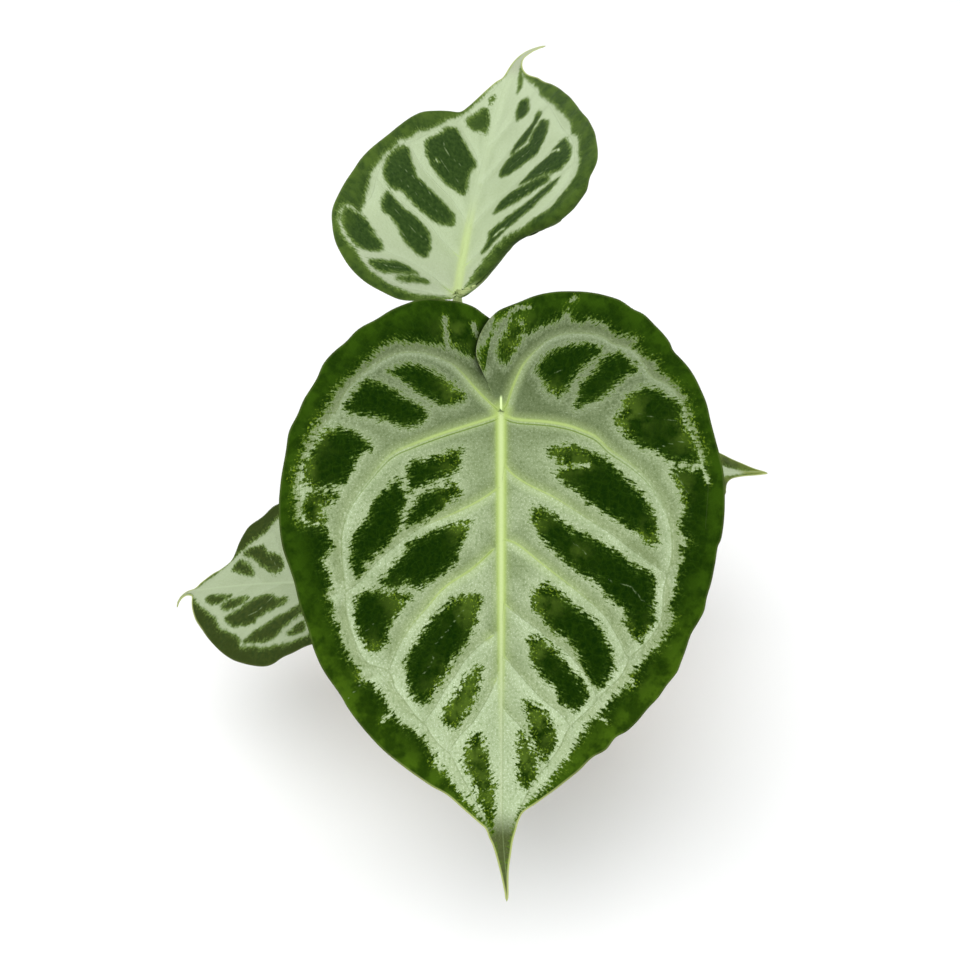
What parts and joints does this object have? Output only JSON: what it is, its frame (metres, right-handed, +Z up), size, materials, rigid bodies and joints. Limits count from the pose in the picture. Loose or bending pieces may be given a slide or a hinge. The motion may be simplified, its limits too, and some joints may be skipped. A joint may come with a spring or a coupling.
{
  "type": "potted anthurium",
  "caption": "Velvet-leaved anthurium with silver-veined heart-shaped leaves on slender stalks, growing in bark mix in a plain round clay pot that stands on its flat base.",
  "frame": {"origin": "centre of the pot's flat base, on the surface it stands on", "axes": "+Z up; -Y towards the side the large front leaf faces; +X to that viewer's right"},
  "size_m": [0.3188, 0.4315, 0.2819],
  "materials": {
    "pot_clay": "matte",
    "bark_mix": "matte",
    "stem_skin": "satin",
    "petiole_skin": "satin",
    "leaf_velvet": "satin",
    "sheath_paper": "matte",
    "root_skin": "matte"
  },
  "bodies": {
    "root": {"pot": "pot_clay", "potting_mix": "bark_mix", "stem": "stem_skin", "petiole_front": "petiole_skin", "petiole_back": "petiole_skin", "petiole_left": "petiole_skin", "petiole_right": "petiole_skin", "leaf_front": "leaf_velvet", "leaf_back": "leaf_velvet", "leaf_left": "leaf_velvet", "leaf_right": "leaf_velvet", "cataphyll_1": "sheath_paper", "cataphyll_2": "sheath_paper", "cataphyll_3": "sheath_paper", "cataphyll_4": "sheath_paper", "aerial_root_1": "root_skin", "aerial_root_2": "root_skin", "aerial_root_3": "root_skin", "aerial_root_4": "root_skin"}
  },
  "joints": []
}
